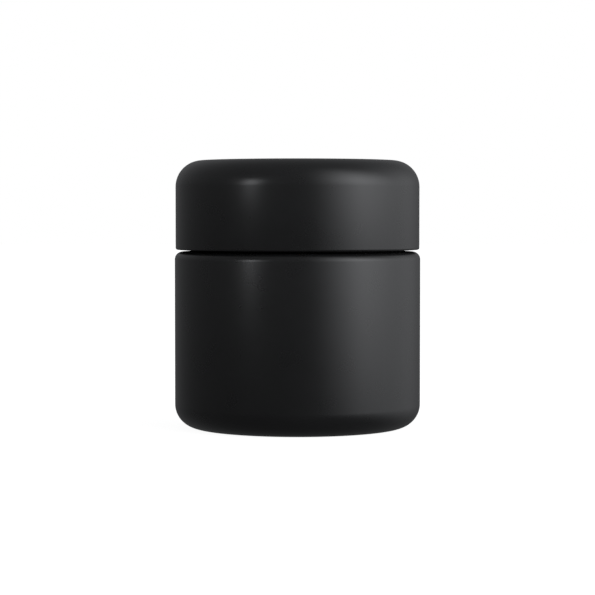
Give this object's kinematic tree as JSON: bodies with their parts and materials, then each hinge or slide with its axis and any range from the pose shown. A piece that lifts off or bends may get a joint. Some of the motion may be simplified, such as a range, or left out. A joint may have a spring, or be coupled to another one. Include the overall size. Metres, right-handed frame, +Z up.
{
  "type": "cosmetic cream jar",
  "caption": "Closed round cream jar with a black outer shell, a white threaded cup inside and a black screw lid with a sealing disc.",
  "frame": {"origin": "centre of the standing ring, on the surface the jar stands on", "axes": "+Z up along the jar's axis; +X and +Y are arbitrary radial directions, because the jar is round"},
  "size_m": [0.056, 0.056, 0.0609],
  "materials": {
    "outer_shell": "satin black, smooth moulded",
    "inner_cup": "semi-gloss white polypropylene",
    "sealing_disc": "soft matt white polyethylene",
    "lid_liner": "fine closed-cell foam, off-white",
    "lid_insert": "semi-gloss white polypropylene",
    "lid_shell": "satin black, smooth moulded"
  },
  "bodies": {
    "jar": {"outer_shell": "outer_shell", "inner_cup": "inner_cup"},
    "seal": {"sealing_disc": "sealing_disc", "lid_liner": "lid_liner"},
    "lid": {"lid_insert": "lid_insert", "lid_shell": "lid_shell"}
  },
  "joints": [
    {"name": "lid_rise", "type": "slide", "parent": "jar", "child": "seal", "axis": [0, 0, 1], "range_m": [0, 0.02]},
    {"name": "lid_turn", "type": "hinge", "parent": "seal", "child": "lid", "pos_m": [0, 0, 0.05], "axis": [0, 0, 1], "range_deg": [0, 600]}
  ],
  "couplings": [
    {"joint": "lid_rise", "follows": "lid_turn", "m_per_rad": 0.0019099}
  ]
}
